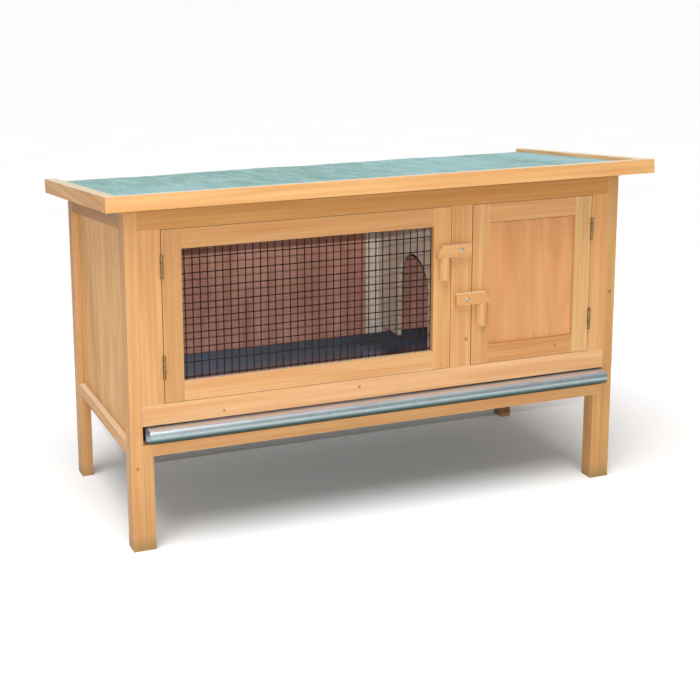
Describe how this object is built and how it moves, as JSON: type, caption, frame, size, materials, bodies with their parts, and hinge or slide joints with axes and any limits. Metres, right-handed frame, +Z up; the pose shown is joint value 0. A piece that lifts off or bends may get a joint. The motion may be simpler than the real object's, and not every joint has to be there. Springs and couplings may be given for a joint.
{
  "type": "rabbit hutch",
  "caption": "Raised wooden pet hutch with a wire-mesh door, a solid nest door, turn buttons, a sheet-metal pull-out tray and a sloping felted roof.",
  "frame": {"origin": "on the ground, under the middle of the bounding box", "axes": "+Z up, the doors and the tray front face -Y, +X towards the nest end"},
  "size_m": [0.968, 0.4552, 0.5924],
  "materials": {
    "fir": "planed softwood under a clear honey stain",
    "plywood": "thin softwood plywood, honey stain",
    "rear_plywood": "thin red-brown plywood",
    "pale_plywood": "thin pale bare plywood",
    "felt": "green mineral-faced roofing felt",
    "black_wire": "black coated welded wire",
    "galvanised": "galvanised sheet, dull",
    "brassed": "aged brass plate",
    "zinc": "zinc-plated steel"
  },
  "bodies": {
    "hutch": {"divider": "pale_plywood", "front_base_rail": "fir", "front_left_stile": "fir", "front_lower_rail": "fir", "front_middle_post": "fir", "front_right_stile": "fir", "front_top_rail": "fir", "left_base_rail": "fir", "left_front_post": "fir", "left_leg_block": "fir", "left_panel": "plywood", "left_rear_post": "fir", "left_top_rail": "fir", "left_tray_runner": "fir", "lower_button_screw": "zinc", "mesh_door_lower_hinge_fixed": "brassed", "mesh_door_upper_hinge_fixed": "brassed", "rear_base_rail": "fir", "rear_panel_nest": "rear_plywood", "rear_panel_run": "rear_plywood", "rear_stile": "fir", "rear_top_rail": "fir", "right_base_rail": "fir", "right_front_post": "fir", "right_leg_block": "fir", "right_panel": "plywood", "right_rear_post": "fir", "right_top_rail": "fir", "right_tray_runner": "fir", "roof_board": "plywood", "roof_felt": "felt", "roof_front_batten": "fir", "roof_left_batten": "fir", "roof_right_batten": "fir", "solid_door_lower_hinge_fixed": "brassed", "solid_door_upper_hinge_fixed": "brassed", "upper_button_screw": "zinc"},
    "mesh_door": {"mesh_door_bottom_rail": "fir", "mesh_door_left_stile": "fir", "mesh_door_lower_hinge_moving": "brassed", "mesh_door_pull": "fir", "mesh_door_right_stile": "fir", "mesh_door_top_rail": "fir", "mesh_door_upper_hinge_moving": "brassed", "mesh_door_wire": "black_wire"},
    "solid_door": {"solid_door_bottom_rail": "fir", "solid_door_left_stile": "fir", "solid_door_lower_hinge_moving": "brassed", "solid_door_panel": "plywood", "solid_door_pull": "fir", "solid_door_right_stile": "fir", "solid_door_top_rail": "fir", "solid_door_upper_hinge_moving": "brassed"},
    "upper_button": {"upper_turn_button": "fir"},
    "lower_button": {"lower_turn_button": "fir"},
    "tray": {"tray_back_wall": "galvanised", "tray_floor": "galvanised", "tray_front_lip": "galvanised", "tray_left_wall": "galvanised", "tray_right_wall": "galvanised"}
  },
  "joints": [
    {"name": "mesh_door_hinge", "type": "hinge", "parent": "hutch", "child": "mesh_door", "pos_m": [-0.3873, -0.17842, 0.385], "axis": [0, 0, -1], "range_deg": [0, 165]},
    {"name": "solid_door_hinge", "type": "hinge", "parent": "hutch", "child": "solid_door", "pos_m": [0.3923, -0.17842, 0.385], "axis": [0, 0, 1], "range_deg": [0, 165]},
    {"name": "upper_button_turn", "type": "hinge", "parent": "hutch", "child": "upper_button", "pos_m": [0.132, -0.18062, 0.4515], "axis": [0, 1, 0], "range_deg": [0, 110]},
    {"name": "lower_button_turn", "type": "hinge", "parent": "hutch", "child": "lower_button", "pos_m": [0.145, -0.18062, 0.3655], "axis": [0, -1, 0], "range_deg": [0, 110]},
    {"name": "tray_slide", "type": "slide", "parent": "hutch", "child": "tray", "axis": [0, -1, 0], "range_m": [0, 0.33]}
  ]
}
